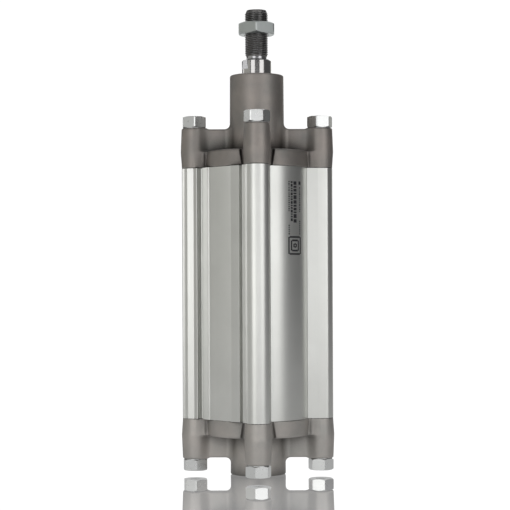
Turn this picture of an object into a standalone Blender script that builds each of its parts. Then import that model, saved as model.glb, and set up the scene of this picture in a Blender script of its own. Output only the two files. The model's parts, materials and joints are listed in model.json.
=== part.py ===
"""Double-acting pneumatic cylinder, 80 mm bore and 150 mm stroke, standing on its rear end with the rod up.

World frame: origin at the centre of the rear boss's end face, +Z along the rod, X and Y square to the sides.
Sizes below are in millimetres; the meshes are made in metres.
"""
from math import atan2, cos, pi, radians, sin, sqrt

import bmesh
import bpy
from mathutils import Matrix

MM = 0.001

# Driving dimensions
BORE_R = 40.0
STROKE = 150.0
TIE_PITCH = 75.0
ROD_R = 12.5
GAP = 0.3
RUNNING_GAP = 0.15

# Heights of the main planes
REAR_JOINT_Z = 47.5
TUBE_LENGTH = 210.0
FRONT_JOINT_Z = REAR_JOINT_Z + TUBE_LENGTH
CAP_HEIGHT = 34.0
FRONT_BOSS_HEIGHT = CAP_HEIGHT + 44.5
REAR_BOSS_HEIGHT = REAR_JOINT_Z
SPIGOT_LENGTH = 8.0

# Barrel outline
BARREL_R = 43.0
LOBE_HALF_WIDTH = 10.4
LOBE_FLANK_END = 50.8
LOBE_ARC_CENTRE = 52.4
LOBE_ARC_R = 11.2
LOBE_ARC_START = radians(50.0)
LOBE_SHOULDER = (58.2, 9.25)
SLOT_FACE_Y = 44.6
SLOT_FACE_EDGE_X = 30.85
SLOT_CENTRE_X = 24.5
SLOT_WIDTH = 5.0
SLOT_DEPTH = 6.0
PANEL_HALF_WIDTH = 12.5
PANEL_Y = 43.6

# End caps: s is the distance outward from the joint plane
FLANGE_HEIGHT = 14.0
FLANGE_R = 44.5
FLANGE_DRAFT = 0.7
STEP = 0.1
STRIP_HALF_WIDTH = 10.3
STRIP_REACH = 51.0
COLUMN_R = 10.4
COLUMN_BULGE = 0.9
RIB_HALF_WIDTH = 7.0
RIB_HEIGHT = CAP_HEIGHT - 0.8
RIB_REACH = 50.0
BOSS_BASE_R = 22.9
BOSS_TOP_R = 22.65
REAR_BOSS_R = 23.25
EDGE = 1.0
SPIGOT_R = BORE_R - 0.4
CHAMBER_R = 20.5
CUSHION_POCKET_R = 24.0
CUSHION_POCKET_DEPTH = 7.0
O_RING_GROOVE_R = 36.5
O_RING_GROOVE = (-6.0, -2.5)
REAR_CHAMBER_END = 31.5
FRONT_CHAMBER_END = 27.5

# Rod guide in the front cap, as heights above the front joint plane
BUSH_POCKET_R = 15.3
BUSH_TOP = 60.5
ROD_CLEARANCE_R = 12.9
SEAL_POCKET_R = 18.5
SEAL_POCKET_BOTTOM = 63.5

# Ports and cushion screws
PORT_HEIGHT = 13.0
PORT_R = 7.7
PORT_DEPTH = 14.0
PORT_BLOCK_HALF_WIDTH = 13.0
PORT_BLOCK_FACE = 46.5
PORT_BLOCK_TOP = 26.0
PORT_PASSAGE_R = 3.5
SCREW_HEIGHT = 7.0
SCREW_HOLE_R = 4.6
SCREW_BOSS_R = 6.8
SCREW_BOSS_FACE = 46.0
SCREW_HOLE_BOTTOM = 28.6
NEEDLE_HOLE_R = 2.1
SCREW_R = 4.2
SCREW_SPAN = (30.1, 42.0)
SCREW_GROOVE = (35.6, 38.0)
SCREW_GROOVE_R = 2.9
NEEDLE_R = 1.7
NEEDLE_TIP = 24.6

# Tie rods and their nuts
TIE_ROD_R = 5.0
TIE_HOLE_R = 5.5
NUT_ACROSS_FLATS = 19.0
NUT_HEIGHT = 10.0
NUT_SHANK_R = 7.5
NUT_SHANK_LENGTH = 12.0
NUT_SOCKET_R = 5.3
COUNTERBORE_R = 7.8
COUNTERBORE_DEPTH = 12.5
TIE_ROD_INSET = 2.5

# Rod end
ROD_SHOULDER_Z = 349.0
THREAD_START_Z = 352.5
THREAD_R = 9.85
THREAD_NECK_R = 8.6
ROD_TOP_Z = 391.0
FLATS_ACROSS = 22.0
FLATS_BOTTOM_Z = 341.0
FLATS_TURN = radians(72.0)
JAM_NUT_Z = (370.4, 380.4)
JAM_NUT_ACROSS_FLATS = 30.0
JAM_NUT_HOLE_R = 10.15

# Piston, retracted: its rear face stands just clear of the rear cap
PISTON_BOTTOM = REAR_JOINT_Z + SPIGOT_LENGTH + GAP
PISTON_TOP = FRONT_JOINT_Z - SPIGOT_LENGTH - STROKE - GAP
PISTON_R = 39.3
STEM_R = 8.0
SLEEVE_R = 17.5
SLEEVE_LENGTH = 21.5
PISTON_NUT_HEIGHT = 10.0
PISTON_NUT_ACROSS_FLATS = 24.0
RING_R = 39.7
MAGNET_SPAN = (74.0, 81.0)
MAGNET_INNER_R = 26.0
MAGNET_OUTER_R = 38.0

# Facets round a full turn
WIDE = 40
MEDIUM = 28
SMALL = 16

CORNERS = ((1, -1), (1, 1), (-1, 1), (-1, -1))
CAMERA_SIDE = radians(-45.0)

ALUMINIUM_CAST = ((0.28, 0.26, 0.24), 0.7, 0.45)
ALUMINIUM_TUBE = ((0.62, 0.63, 0.61), 0.9, 0.3)
ALUMINIUM_TURNED = ((0.7, 0.7, 0.72), 0.9, 0.35)
ZINC = ((0.6, 0.61, 0.62), 0.9, 0.3)
CHROME = ((0.75, 0.76, 0.78), 1.0, 0.08)
STEEL = ((0.4, 0.41, 0.42), 0.9, 0.4)
BRONZE = ((0.5, 0.36, 0.2), 0.8, 0.4)
RUBBER = ((0.02, 0.02, 0.02), 0.0, 0.6)
POLYURETHANE = ((0.1, 0.28, 0.16), 0.0, 0.5)
PLASTIC = ((0.5, 0.48, 0.42), 0.0, 0.5)
MAGNET = ((0.12, 0.12, 0.13), 0.3, 0.6)


def clear_scene():
    for thing in list(bpy.data.objects):
        bpy.data.objects.remove(thing, do_unlink=True)


def material(name, finish):
    colour, metallic, roughness = finish
    made = bpy.data.materials.new(name)
    made.use_nodes = True
    shader = made.node_tree.nodes["Principled BSDF"]
    shader.inputs["Base Color"].default_value = (*colour, 1.0)
    shader.inputs["Metallic"].default_value = metallic
    shader.inputs["Roughness"].default_value = roughness
    made.diffuse_color = (*colour, 1.0)
    return made


def add(name, bm, finish=None):
    """An object from a bmesh in millimetres, its faces turned outward. Without a finish it is a tool."""
    bmesh.ops.recalc_face_normals(bm, faces=bm.faces)
    bmesh.ops.scale(bm, vec=(MM, MM, MM), verts=bm.verts)
    mesh = bpy.data.meshes.new(name)
    bm.to_mesh(mesh)
    bm.free()
    made = bpy.data.objects.new(name, mesh)
    bpy.context.collection.objects.link(made)
    if finish is None:
        made.hide_render = True
        made.display_type = "WIRE"
    else:
        mesh.materials.append(material(name, finish))
        mesh.shade_smooth()
        mesh.set_sharp_from_angle(angle=radians(35.0))
    return made


def turned(profile, centre=(0.0, 0.0), steps=MEDIUM):
    """A body turned about Z through centre. Its profile is (radius, height) points, open only on the axis."""
    bm = bmesh.new()
    rings = []
    for radius, height in profile:
        if radius == 0:
            rings.append([bm.verts.new((*centre, height))])
        else:
            rings.append(ring(bm, centre, radius, height, steps))
    for low, high in zip(rings, rings[1:] + rings[:1]):
        for i in range(steps):
            j = (i + 1) % steps
            corners = [low[i % len(low)], high[i % len(high)], high[j % len(high)], low[j % len(low)]]
            distinct = list(dict.fromkeys(corners))
            if len(distinct) > 2:
                bm.faces.new(distinct)
    return bm


def ring(bm, centre, radius, height, steps):
    angles = [2 * pi * i / steps for i in range(steps)]
    return [bm.verts.new((centre[0] + radius * cos(a), centre[1] + radius * sin(a), height)) for a in angles]


def lofted(sections):
    """A body through outlines of equal length, each with its height."""
    bm = bmesh.new()
    loops = [[bm.verts.new((x, y, height)) for x, y in outline] for outline, height in sections]
    bm.faces.new(loops[0])
    bm.faces.new(loops[-1])
    for low, high in zip(loops, loops[1:]):
        for i in range(len(low)):
            j = (i + 1) % len(low)
            bm.faces.new((low[i], low[j], high[j], high[i]))
    return bm


def box(low, high):
    outline = [(low[0], low[1]), (high[0], low[1]), (high[0], high[1]), (low[0], high[1])]
    return lofted([(outline, low[2]), (outline, high[2])])


def tube(inner, outer, bottom, top, edge=0.0, steps=MEDIUM, centre=(0.0, 0.0)):
    """A plain ring, its outer edges broken by edge."""
    profile = [(inner, bottom), (outer - edge, bottom)]
    if edge:
        profile += [(outer, bottom + edge), (outer, top - edge)]
    profile += [(outer - edge, top), (inner, top)]
    if not edge:
        profile = [(inner, bottom), (outer, bottom), (outer, top), (inner, top)]
    return turned(profile, centre, steps)


def cut(target, tool, operation="DIFFERENCE"):
    step = target.modifiers.new(tool.name, "BOOLEAN")
    step.operation = operation
    step.solver = "EXACT"
    step.object = tool


def hexagon(across_flats, normal_angle, scale=1.0, centre=(0.0, 0.0)):
    radius = scale * across_flats / sqrt(3)
    angles = [normal_angle + radians(30 + 60 * i) for i in range(6)]
    return [(centre[0] + radius * cos(a), centre[1] + radius * sin(a)) for a in angles]


def lobe_outline(start_flank, end_flank):
    """One corner lobe as (outward, sideways) points, from its clockwise flank to its other flank."""
    steps = 6
    arc = [LOBE_ARC_START * (2 * i / steps - 1) for i in range(steps + 1)]
    points = [(LOBE_ARC_CENTRE + LOBE_ARC_R * cos(a), LOBE_ARC_R * sin(a)) for a in arc]
    out, beside = LOBE_SHOULDER
    return start_flank + [(out, -beside)] + points + [(out, beside)] + end_flank


def smooth_flank(side):
    root = sqrt(BARREL_R**2 - LOBE_HALF_WIDTH**2)
    return [(root, side * LOBE_HALF_WIDTH), (LOBE_FLANK_END, side * LOBE_HALF_WIDTH)]


def turn(points, angle):
    return [(x * cos(angle) - y * sin(angle), x * sin(angle) + y * cos(angle)) for x, y in points]


def barrel_arc():
    """The round side wall between two lobes, about +X, without its end points."""
    edge = pi / 4 - atan2(LOBE_HALF_WIDTH, sqrt(BARREL_R**2 - LOBE_HALF_WIDTH**2))
    steps = 10
    angles = [edge * (2 * i / steps - 1) for i in range(1, steps)]
    return [(BARREL_R * cos(a), BARREL_R * sin(a)) for a in angles]


def slotted_side():
    """The side with two sensor slots, about +X, from its low Y edge to its high one."""
    floor = SLOT_FACE_Y - SLOT_DEPTH
    near = SLOT_CENTRE_X - SLOT_WIDTH / 2
    far = SLOT_CENTRE_X + SLOT_WIDTH / 2
    half = [(PANEL_Y, PANEL_HALF_WIDTH), (SLOT_FACE_Y, PANEL_HALF_WIDTH), (SLOT_FACE_Y, near), (floor, near)]
    half += [(floor, far), (SLOT_FACE_Y, far), (SLOT_FACE_Y, SLOT_FACE_EDGE_X)]
    return [(x, -y) for x, y in reversed(half)] + half


def barrel_outline():
    """The tube's section, counterclockwise from the lobe between -Y and +X."""
    clockwise, other = smooth_flank(-1), smooth_flank(1)[::-1]
    points = turn(lobe_outline([], other), -pi / 4)
    points += barrel_arc()
    points += turn(lobe_outline(clockwise, []), pi / 4)
    points += turn(slotted_side(), pi / 2)
    points += turn(lobe_outline([], other), 3 * pi / 4)
    points += turn(barrel_arc(), pi)
    points += turn(lobe_outline(clockwise, []), 5 * pi / 4)
    points += turn(slotted_side(), 3 * pi / 2)
    return points


def tie_places():
    half = TIE_PITCH / 2
    return [(half * x, half * y) for x, y in CORNERS]


def make_barrel():
    section = barrel_outline()
    bottom, top = REAR_JOINT_Z + GAP / 2, FRONT_JOINT_Z - GAP / 2
    barrel = add("barrel", lofted([(section, bottom), (section, top)]), ALUMINIUM_TUBE)
    low, high = bottom - 5, top + 5
    cut(barrel, add("barrel_bore_tool", solid_rod(BORE_R, low, high, steps=WIDE)))
    for i, place in enumerate(tie_places()):
        cut(barrel, add(f"barrel_tie_hole_tool_{i}", solid_rod(TIE_HOLE_R, low, high, place, SMALL)))


def solid_rod(radius, low, high, centre=(0.0, 0.0), steps=MEDIUM, edge=0.0):
    if edge:
        profile = [(0, low), (radius - edge, low), (radius, low + edge)]
        profile += [(radius, high - edge), (radius - edge, high), (0, high)]
    else:
        profile = [(0, low), (radius, low), (radius, high), (0, high)]
    return turned(profile, centre, steps)


def flange():
    """The round flange that meets the tube."""
    top_r = FLANGE_R - FLANGE_DRAFT
    profile = [(0, 0), (FLANGE_R, 0), (top_r, FLANGE_HEIGHT - EDGE)]
    profile += [(top_r - EDGE, FLANGE_HEIGHT), (0, FLANGE_HEIGHT)]
    return turned(profile, steps=WIDE)


def column(centre):
    profile = [(0, 2 * STEP), (COLUMN_R, 2 * STEP), (COLUMN_R + COLUMN_BULGE, FLANGE_HEIGHT)]
    profile += [(COLUMN_R + 0.2, CAP_HEIGHT - EDGE), (COLUMN_R - EDGE, CAP_HEIGHT), (0, CAP_HEIGHT)]
    return turned(profile, centre, SMALL)


def bar(angle, reach, half_width, low, high):
    """A bar across the cap from corner to corner."""
    outline = [(-reach, -half_width), (reach, -half_width), (reach, half_width), (-reach, half_width)]
    outline = turn(outline, angle)
    return lofted([(outline, low), (outline, high)])


def screw_boss():
    """Along its own axis from the cylinder's centre outward: the flat-faced boss round the cushion screw."""
    return solid_rod(SCREW_BOSS_R, SCREW_HOLE_BOTTOM, SCREW_BOSS_FACE, steps=SMALL)


def boss(height, base_r, top_r):
    """The central boss with the spigot that enters the tube, and the spigot's O-ring groove."""
    low, high = O_RING_GROOVE
    profile = [(0, -SPIGOT_LENGTH), (SPIGOT_R - EDGE, -SPIGOT_LENGTH), (SPIGOT_R, EDGE - SPIGOT_LENGTH)]
    profile += [(SPIGOT_R, low), (O_RING_GROOVE_R, low), (O_RING_GROOVE_R, high), (SPIGOT_R, high)]
    profile += [(SPIGOT_R, 2 * EDGE), (base_r, 2 * EDGE)]
    profile += [(top_r, height - EDGE), (top_r - EDGE, height), (0, height)]
    return turned(profile, steps=WIDE)


def cushion_chamber(end):
    """The hollow that the cushion sleeve enters, with its seal's pocket at the mouth."""
    mouth = -SPIGOT_LENGTH - 1
    pocket = CUSHION_POCKET_DEPTH - SPIGOT_LENGTH
    profile = [(0, mouth), (CUSHION_POCKET_R, mouth), (CUSHION_POCKET_R, pocket), (CHAMBER_R, pocket)]
    return profile + [(CHAMBER_R, end)]


def rear_hollow():
    return turned(cushion_chamber(REAR_CHAMBER_END) + [(0, REAR_CHAMBER_END)])


def front_hollow():
    """The chamber, the bush's seat, the rod's clearance hole and the rod seal's pocket."""
    top = FRONT_BOSS_HEIGHT + 1
    profile = cushion_chamber(FRONT_CHAMBER_END)
    profile += [(BUSH_POCKET_R, FRONT_CHAMBER_END), (BUSH_POCKET_R, BUSH_TOP), (ROD_CLEARANCE_R, BUSH_TOP)]
    profile += [(ROD_CLEARANCE_R, SEAL_POCKET_BOTTOM), (SEAL_POCKET_R, SEAL_POCKET_BOTTOM)]
    return turned(profile + [(SEAL_POCKET_R, top), (0, top)])


def tie_hole(centre):
    floor = CAP_HEIGHT - COUNTERBORE_DEPTH
    top = CAP_HEIGHT + 1
    profile = [(0, -1), (TIE_HOLE_R, -1), (TIE_HOLE_R, floor)]
    profile += [(COUNTERBORE_R, floor), (COUNTERBORE_R, top), (0, top)]
    return turned(profile, centre, SMALL)


def port_hollow():
    """Along its own axis from the cylinder's centre outward: passage, then the port's thread bore."""
    floor = PORT_BLOCK_FACE - PORT_DEPTH
    mouth = PORT_BLOCK_FACE + 5
    profile = [(0, 0), (PORT_PASSAGE_R, 0), (PORT_PASSAGE_R, floor)]
    profile += [(PORT_R, floor), (PORT_R, mouth), (0, mouth)]
    return turned(profile, steps=SMALL)


def screw_hollow():
    mouth = SCREW_BOSS_FACE + 5
    profile = [(0, 0), (NEEDLE_HOLE_R, 0), (NEEDLE_HOLE_R, SCREW_HOLE_BOTTOM)]
    profile += [(SCREW_HOLE_R, SCREW_HOLE_BOTTOM), (SCREW_HOLE_R, mouth), (0, mouth)]
    return turned(profile, steps=SMALL)


def make_cap(name, joint_z, outward, height, radii, hollow):
    """A cast end cap, shaped with its joint plane at 0 and outward up, then moved into place."""

    def stand(shape):
        bmesh.ops.scale(shape, vec=(1, 1, outward), verts=shape.verts)
        bmesh.ops.translate(shape, vec=(0, 0, joint_z), verts=shape.verts)
        return shape

    cap = add(name, stand(flange()), ALUMINIUM_CAST)
    joined = {"boss": boss(height, *radii)}
    for side, angle in (("a", pi / 4), ("b", -pi / 4)):
        joined[f"strip_{side}"] = bar(angle, STRIP_REACH, STRIP_HALF_WIDTH, STEP, FLANGE_HEIGHT - STEP)
        joined[f"rib_{side}"] = bar(angle, RIB_REACH, RIB_HALF_WIDTH, EDGE, RIB_HEIGHT)
    joined["port_block"] = box(
        (-PORT_BLOCK_FACE, -PORT_BLOCK_HALF_WIDTH, 2.5), (0, PORT_BLOCK_HALF_WIDTH, PORT_BLOCK_TOP)
    )
    for i, place in enumerate(tie_places()):
        joined[f"column_{i}"] = column(place)
    for part, shape in joined.items():
        cut(cap, add(f"{name}_{part}_tool", stand(shape)), "UNION")
    screw_z = joint_z + outward * SCREW_HEIGHT
    cut(cap, aim(add(f"{name}_screw_boss_tool", screw_boss()), "+Y", screw_z), "UNION")
    cut(cap, add(f"{name}_hollow_tool", stand(hollow)))
    for i, place in enumerate(tie_places()):
        cut(cap, add(f"{name}_tie_hole_tool_{i}", stand(tie_hole(place))))
    cut(cap, aim(add(f"{name}_port_tool", port_hollow()), "-X", joint_z + outward * PORT_HEIGHT))
    cut(cap, aim(add(f"{name}_screw_hole_tool", screw_hollow()), "+Y", screw_z))


def aim(thing, direction, height):
    """Turns a piece that was made along Z so that it points sideways, at this height."""
    quarter = -pi / 2
    thing.rotation_euler = (quarter, 0, 0) if direction == "+Y" else (0, quarter, 0)
    thing.location = (0, 0, height * MM)
    return thing


def make_cushion_screw(end, joint_z, outward):
    height = joint_z + outward * SCREW_HEIGHT
    low, high = SCREW_SPAN
    groove_low, groove_high = SCREW_GROOVE
    profile = [(0, NEEDLE_TIP), (0.5, NEEDLE_TIP), (NEEDLE_R, NEEDLE_TIP + 3)]
    profile += [(NEEDLE_R, low), (SCREW_R, low)]
    profile += [(SCREW_R, groove_low), (SCREW_GROOVE_R, groove_low), (SCREW_GROOVE_R, groove_high)]
    profile += [(SCREW_R, groove_high), (SCREW_R, high - 0.4), (SCREW_R - 0.4, high), (0, high)]
    screw = aim(add(f"{end}_cushion_screw", turned(profile, steps=SMALL), STEEL), "+Y", height)
    slot = add(f"{end}_cushion_screw_slot_tool", box((-6, -0.6, high - 1.6), (6, 0.6, high + 1)))
    cut(screw, aim(slot, "+Y", height))
    seal = tube(SCREW_GROOVE_R + 0.2, SCREW_R + 0.15, groove_low + 0.2, groove_high - 0.2, 0.3, SMALL)
    aim(add(f"{end}_cushion_screw_o_ring", seal, RUBBER), "+Y", height)


def make_seals(end, joint_z, outward):
    """The static O-ring round a cap's spigot and the cushion seal in its mouth."""
    low, high = sorted(joint_z + outward * s for s in O_RING_GROOVE)
    o_ring = tube(O_RING_GROOVE_R + GAP, BORE_R - GAP, low + GAP, high - GAP, 0.6, WIDE)
    add(f"{end}_barrel_o_ring", o_ring, RUBBER)
    edges = (-SPIGOT_LENGTH + GAP, CUSHION_POCKET_DEPTH - SPIGOT_LENGTH - GAP)
    low, high = sorted(joint_z + outward * s for s in edges)
    add(f"{end}_cushion_seal", tube(SLEEVE_R + GAP, CUSHION_POCKET_R - GAP, low, high), POLYURETHANE)


def make_tie_rod(index, place):
    low = REAR_JOINT_Z - CAP_HEIGHT + TIE_ROD_INSET
    high = FRONT_JOINT_Z + CAP_HEIGHT - TIE_ROD_INSET
    add(f"tie_rod_{index}", solid_rod(TIE_ROD_R, low, high, place, SMALL, 0.8), ZINC)


def make_tie_nut(name, place, base_z, outward, facing):
    """A flanged-in sleeve nut: its hexagon stands on the column and its shank enters the counterbore."""
    angle = CAMERA_SIDE + radians(facing)
    bottom, shoulder, top = GAP / 2, NUT_HEIGHT - 1.2, NUT_HEIGHT
    sections = [(hexagon(NUT_ACROSS_FLATS, angle, 1.0, place), bottom)]
    sections += [(hexagon(NUT_ACROSS_FLATS, angle, 1.0, place), shoulder)]
    sections += [(hexagon(NUT_ACROSS_FLATS, angle, 0.9, place), top)]

    def stand(shape):
        bmesh.ops.scale(shape, vec=(1, 1, outward), verts=shape.verts)
        bmesh.ops.translate(shape, vec=(0, 0, base_z), verts=shape.verts)
        return shape

    nut = add(name, stand(lofted(sections)), ZINC)
    shank = solid_rod(NUT_SHANK_R, -NUT_SHANK_LENGTH, 2, place, SMALL)
    hole = solid_rod(NUT_SOCKET_R, -NUT_SHANK_LENGTH - 2, NUT_HEIGHT + 2, place, SMALL)
    cut(nut, add(f"{name}_shank_tool", stand(shank)), "UNION")
    cut(nut, add(f"{name}_hole_tool", stand(hole)))


def make_piston_rod():
    """The rod with its threaded end, its wrench flats and the stem that the piston is clamped on."""
    stem_end = PISTON_BOTTOM - SLEEVE_LENGTH - PISTON_NUT_HEIGHT - 3
    profile = [(0, stem_end), (STEM_R - 1, stem_end), (STEM_R, stem_end + 1)]
    profile += [(STEM_R, PISTON_TOP), (ROD_R, PISTON_TOP)]
    profile += [(ROD_R, ROD_SHOULDER_Z - 0.8), (ROD_R - 0.8, ROD_SHOULDER_Z), (THREAD_NECK_R, ROD_SHOULDER_Z)]
    profile += [(THREAD_NECK_R, THREAD_START_Z), (THREAD_R, THREAD_START_Z + 1.2)]
    profile += [(THREAD_R, ROD_TOP_Z - 1.4), (THREAD_R - 1.4, ROD_TOP_Z), (0, ROD_TOP_Z)]
    rod = add("piston_rod", turned(profile), CHROME)
    for side in (1, -1):
        reach = FLATS_ACROSS / 2
        span = sorted((side * reach, side * (reach + 5)))
        tool = box((span[0], -20, FLATS_BOTTOM_Z), (span[1], 20, ROD_SHOULDER_Z + 2))
        bmesh.ops.rotate(tool, matrix=Matrix.Rotation(FLATS_TURN, 3, "Z"), verts=tool.verts)
        cut(rod, add(f"wrench_flat_tool_{side}", tool))


def make_rod_end_nut():
    angle = CAMERA_SIDE + radians(29.5)
    low, high = JAM_NUT_Z
    heights = [(low, 0.93), (low + 1.1, 1.0), (high - 1.1, 1.0), (high, 0.93)]
    nut = add("rod_end_nut", lofted([(hexagon(JAM_NUT_ACROSS_FLATS, angle, k), z) for z, k in heights]), ZINC)
    cut(nut, add("rod_end_nut_hole_tool", solid_rod(JAM_NUT_HOLE_R, low - 2, high + 2)))


def make_rod_guide():
    """The bush and the rod seal, both in the front cap."""
    low = FRONT_JOINT_Z + FRONT_CHAMBER_END + 1
    high = FRONT_JOINT_Z + BUSH_TOP - GAP
    add("rod_bush", tube(ROD_R + RUNNING_GAP, BUSH_POCKET_R - GAP, low, high), BRONZE)
    low = FRONT_JOINT_Z + SEAL_POCKET_BOTTOM + GAP
    high = FRONT_JOINT_Z + FRONT_BOSS_HEIGHT
    outer = SEAL_POCKET_R - GAP
    profile = [(ROD_R + RUNNING_GAP, low), (outer, low), (outer, high - 1.2), (outer - 2.5, high - 0.6)]
    profile += [(ROD_R + 1.8, high - 0.6), (ROD_R + 0.6, high + 0.6), (ROD_R + RUNNING_GAP, high + 0.6)]
    add("rod_seal", turned(profile), POLYURETHANE)


def groove(outer, floor, low, high):
    """Profile points that run up an outer wall and into a groove."""
    return [(outer, low), (floor, low), (floor, high), (outer, high)]


def make_piston():
    inner = STEM_R + GAP
    middle = (MAGNET_SPAN[0] + MAGNET_SPAN[1]) / 2
    seat = MAGNET_INNER_R - GAP
    low, high = MAGNET_SPAN
    rear_seal = (61.5, 66.5)
    front_seal = (90.5, 95.5)
    guide = (83.0, 88.5)
    profile = [(inner, PISTON_BOTTOM), (PISTON_R - EDGE, PISTON_BOTTOM), (PISTON_R, PISTON_BOTTOM + EDGE)]
    profile += groove(PISTON_R, 33.0, *rear_seal)
    profile += [(PISTON_R, low - GAP), (seat, low - GAP), (seat, middle - GAP / 2), (inner, middle - GAP / 2)]
    add("piston_rear_half", turned(profile, steps=WIDE), ALUMINIUM_TURNED)
    profile = [(inner, middle + GAP / 2), (seat, middle + GAP / 2)]
    profile += [(seat, high + GAP), (PISTON_R, high + GAP)]
    profile += groove(PISTON_R, 37.0, *guide)
    profile += groove(PISTON_R, 33.0, *front_seal)
    profile += [(PISTON_R, PISTON_TOP - EDGE - GAP), (PISTON_R - EDGE, PISTON_TOP - GAP)]
    profile += [(inner, PISTON_TOP - GAP)]
    add("piston_front_half", turned(profile, steps=WIDE), ALUMINIUM_TURNED)
    add("magnet_ring", tube(MAGNET_INNER_R, MAGNET_OUTER_R, low, high, steps=WIDE), MAGNET)
    for name, (bottom, top) in (("rear", rear_seal), ("front", front_seal)):
        ring_shape = tube(33.0 + GAP, RING_R, bottom + GAP, top - GAP, 0.6, WIDE)
        add(f"piston_{name}_seal", ring_shape, POLYURETHANE)
    wear = tube(37.0 + GAP, RING_R, guide[0] + GAP, guide[1] - GAP, steps=WIDE)
    add("piston_guide_ring", wear, PLASTIC)


def make_cushion_sleeves():
    low = PISTON_BOTTOM - GAP - SLEEVE_LENGTH
    add("rear_cushion_sleeve", tube(STEM_R + GAP, SLEEVE_R, low, PISTON_BOTTOM - GAP, 1.2), ALUMINIUM_TURNED)
    high = PISTON_TOP + SLEEVE_LENGTH
    add("front_cushion_sleeve", tube(ROD_R + GAP, SLEEVE_R, PISTON_TOP, high, 1.2), ALUMINIUM_TURNED)
    top = low - GAP
    heights = [(top - PISTON_NUT_HEIGHT, 0.94), (top - PISTON_NUT_HEIGHT + 1, 1.0), (top, 1.0)]
    outline = [(hexagon(PISTON_NUT_ACROSS_FLATS, 0, k), z) for z, k in heights]
    nut = add("piston_nut", lofted(outline), STEEL)
    cut(nut, add("piston_nut_hole_tool", solid_rod(STEM_R + GAP, top - 20, top + 5)))


def build():
    clear_scene()
    make_barrel()
    make_cap("rear_cap", REAR_JOINT_Z, -1, REAR_BOSS_HEIGHT, (REAR_BOSS_R, REAR_BOSS_R), rear_hollow())
    make_cap("front_cap", FRONT_JOINT_Z, 1, FRONT_BOSS_HEIGHT, (BOSS_BASE_R, BOSS_TOP_R), front_hollow())
    for end, joint_z, outward in (("rear", REAR_JOINT_Z, -1), ("front", FRONT_JOINT_Z, 1)):
        make_seals(end, joint_z, outward)
        make_cushion_screw(end, joint_z, outward)
    facings = {"front": (-2, 12, 12, -24), "rear": (17, -15, -20, -22)}
    for i, place in enumerate(tie_places()):
        make_tie_rod(i + 1, place)
        base = FRONT_JOINT_Z + CAP_HEIGHT
        make_tie_nut(f"front_tie_rod_nut_{i + 1}", place, base, 1, facings["front"][i])
        make_tie_nut(f"rear_tie_rod_nut_{i + 1}", place, REAR_JOINT_Z - CAP_HEIGHT, -1, facings["rear"][i])
    make_piston_rod()
    make_rod_end_nut()
    make_rod_guide()
    make_piston()
    make_cushion_sleeves()


build()
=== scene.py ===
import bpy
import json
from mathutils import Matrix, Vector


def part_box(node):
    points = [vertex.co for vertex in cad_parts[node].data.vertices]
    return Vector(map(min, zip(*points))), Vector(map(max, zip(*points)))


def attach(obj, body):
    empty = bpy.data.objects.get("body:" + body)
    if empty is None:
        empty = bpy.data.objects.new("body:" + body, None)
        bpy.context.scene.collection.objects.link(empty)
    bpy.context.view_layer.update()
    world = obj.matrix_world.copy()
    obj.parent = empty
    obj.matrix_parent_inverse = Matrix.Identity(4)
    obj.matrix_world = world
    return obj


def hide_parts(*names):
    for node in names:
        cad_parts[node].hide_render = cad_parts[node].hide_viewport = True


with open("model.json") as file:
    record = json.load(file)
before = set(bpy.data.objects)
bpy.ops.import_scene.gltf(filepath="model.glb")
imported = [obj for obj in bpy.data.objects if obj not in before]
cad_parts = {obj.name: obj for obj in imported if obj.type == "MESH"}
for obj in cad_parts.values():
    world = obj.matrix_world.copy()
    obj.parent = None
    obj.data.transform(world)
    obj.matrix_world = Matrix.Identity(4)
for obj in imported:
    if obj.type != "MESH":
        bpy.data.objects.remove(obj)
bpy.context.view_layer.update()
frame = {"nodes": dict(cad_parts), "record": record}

"""The finished look of the pneumatic cylinder: castings, tube, nuts, rod, inner parts, floor and light.

Shapes are worked out in millimetres and written in metres, in the CAD's frame. Heights come from its nodes.
"""
import json
from itertools import product
from math import asin, cos, degrees, hypot, pi, radians, sin, sqrt, tan

import bmesh
import bpy
import numpy as np
from mathutils import Matrix, Vector

MM = 0.001


def low_mm(node):
    """A CAD node's lowest corner, in millimetres."""
    return [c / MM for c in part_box(node)[0]]


def high_mm(node):
    """A CAD node's highest corner, in millimetres."""
    return [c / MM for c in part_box(node)[1]]


# Heights, from the frame. The caps' own heights go outwards from their joint with the tube.
JOINT_GAP = 0.15
TUBE_GAP = 0.06
REAR_JOINT = low_mm("barrel")[2] - JOINT_GAP
FRONT_JOINT = high_mm("barrel")[2] + JOINT_GAP
NOSE_TOP = high_mm("front_cap")[2]
ROD_TOP = high_mm("piston_rod")[2]
ROD_BOTTOM = low_mm("piston_rod")[2]
PISTON_TOP = high_mm("piston_front_half")[2] + 0.3
JAM_NUT_LOW = low_mm("rod_end_nut")[2]
JAM_NUT_HIGH = high_mm("rod_end_nut")[2]
TIE_ROD_LOW = low_mm("tie_rod_1")[2]
TIE_ROD_HIGH = high_mm("tie_rod_1")[2]

# The tube in plan
CORNERS = ((1, -1), (1, 1), (-1, 1), (-1, -1))
TIE_HALF_PITCH = 37.5
TIE_HOLE_R = 5.5
BORE_R = 40.0
BARREL_R = 43.0
LOBE_HALF_WIDTH = 10.4
LOBE_TIP_CENTRE = 52.4
LOBE_TIP_R = 11.2
LOBE_SHOULDER_CENTRE = (57.67, 6.28)
LOBE_SHOULDER_R = 3

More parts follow.
